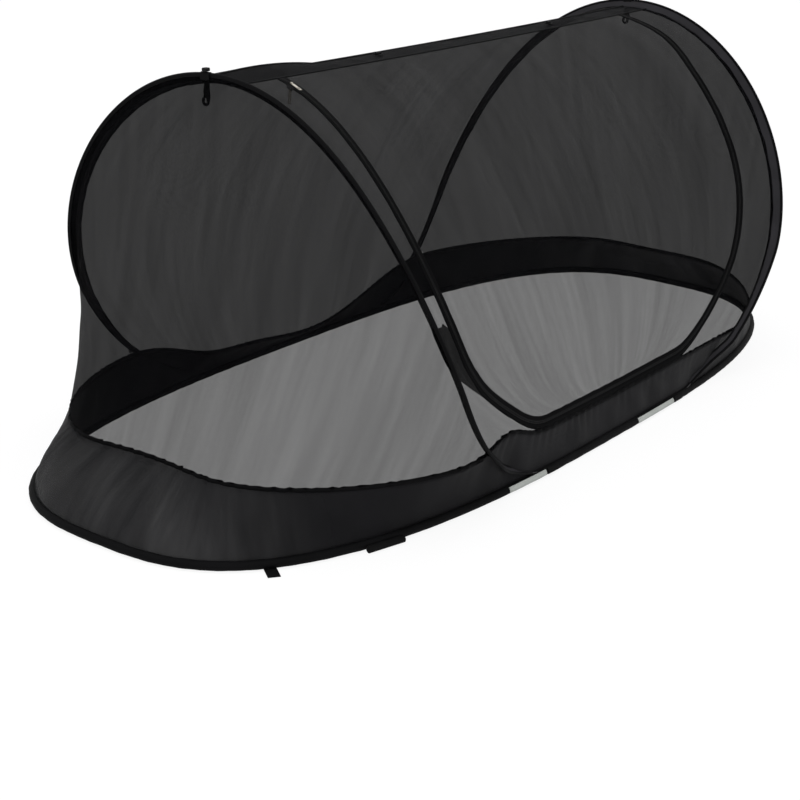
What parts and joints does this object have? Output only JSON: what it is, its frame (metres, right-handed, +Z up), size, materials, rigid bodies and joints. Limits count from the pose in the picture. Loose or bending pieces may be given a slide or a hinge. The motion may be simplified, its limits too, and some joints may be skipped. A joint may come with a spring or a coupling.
{
  "type": "pop-up mosquito net tent",
  "caption": "Pop-up mosquito net tent for a single bed: oval sprung rim, two leaning hoops, mesh walls with a zipped side door and an opaque lower band.",
  "frame": {"origin": "centre of the oval base, on the surface the rim rests on", "axes": "+X along the ridge to the head end, +Y to the far side opposite the zipped door, +Z up"},
  "size_m": [2.2794, 1.0108, 0.8419],
  "materials": {
    "net": "fine black polyester mesh, matt",
    "band_cloth": "opaque dark grey polyester, slight sheen",
    "sleeve_cloth": "black woven tape, matt",
    "spring_steel": "bare sprung wire",
    "zip_cloth": "black zip tape with moulded teeth",
    "bright_metal": "pale gold plated",
    "hook_plastic": "moulded black",
    "strap_web": "black webbing",
    "grey_tape": "pale grey woven tape"
  },
  "bodies": {
    "root": {"head_rim_sleeve": "sleeve_cloth", "head_rim_wire": "spring_steel", "head_hoop_wire": "spring_steel", "head_hoop_sleeve": "sleeve_cloth", "head_side_band": "band_cloth", "head_band_binding": "band_cloth", "head_net": "net", "head_crown_strap": "strap_web", "head_crown_knob": "hook_plastic", "head_hook_tape": "strap_web", "head_door_tie": "strap_web", "head_toggle": "hook_plastic", "head_grey_patch": "grey_tape", "head_keeper": "strap_web", "near_foot_net": "net", "near_head_net": "net", "far_net": "net", "ridge_band": "net", "zip_tape_frame": "zip_cloth", "near_fold_gusset": "band_cloth", "far_fold_gusset": "band_cloth"},
    "foot_half": {"foot_rim_sleeve": "sleeve_cloth", "foot_rim_wire": "spring_steel", "foot_hoop_wire": "spring_steel", "foot_hoop_sleeve": "sleeve_cloth", "foot_side_band": "band_cloth", "foot_band_binding": "band_cloth", "foot_net": "net", "foot_crown_strap": "strap_web", "foot_crown_knob": "hook_plastic", "foot_hook_tape": "strap_web", "foot_door_tie": "strap_web", "foot_toggle": "hook_plastic", "foot_grey_patch": "grey_tape", "foot_keeper": "strap_web", "bed_tab": "strap_web", "bed_tie_roll": "strap_web"},
    "door": {"door_net": "net", "zip_tape_door": "zip_cloth"},
    "zip_slider": {"zip_slider": "bright_metal"},
    "outer_pull": {"outer_zip_pull": "bright_metal"},
    "inner_pull": {"inner_zip_pull": "bright_metal"},
    "foot_hook": {"foot_hook": "hook_plastic"},
    "head_hook": {"head_hook": "hook_plastic"}
  },
  "joints": [
    {"name": "fold_in_half", "type": "hinge", "parent": "root", "child": "foot_half", "pos_m": [0, 0, 0.01745], "axis": [0, 1, 0], "range_deg": [0, 84], "deforming": ["near_foot_net", "near_head_net", "far_net", "door_net", "ridge_band", "zip_tape_frame", "zip_tape_door", "near_fold_gusset", "far_fold_gusset"]},
    {"name": "door_lift", "type": "hinge", "parent": "root", "child": "door", "pos_m": [0, -0.03312, 0.81057], "axis": [-1, 0, 0], "range_deg": [0, 105]},
    {"name": "slider_travel", "type": "hinge", "parent": "foot_half", "child": "zip_slider", "pos_m": [-0.44928, 0.03903, 0.31766], "axis": [0.8856, -0.3436, 0.3125], "range_deg": [0, 58]},
    {"name": "outer_pull_swing", "type": "hinge", "parent": "zip_slider", "child": "outer_pull", "pos_m": [-0.66453, -0.06822, 0.80885], "axis": [-0.9759, 0.2079, 0.0658], "range_deg": [0, 160]},
    {"name": "inner_pull_swing", "type": "hinge", "parent": "zip_slider", "child": "inner_pull", "pos_m": [-0.66458, -0.06548, 0.79944], "axis": [0.9759, -0.2079, -0.0658], "range_deg": [-55, 55]},
    {"name": "foot_hook_swing", "type": "hinge", "parent": "foot_half", "child": "foot_hook", "pos_m": [-0.79579, 0.026, 0.78554], "axis": [0, 1, 0], "range_deg": [-60, 5]},
    {"name": "head_hook_swing", "type": "hinge", "parent": "root", "child": "head_hook", "pos_m": [0.79579, 0.026, 0.78554], "axis": [0, 1, 0], "range_deg": [-5, 60]}
  ]
}
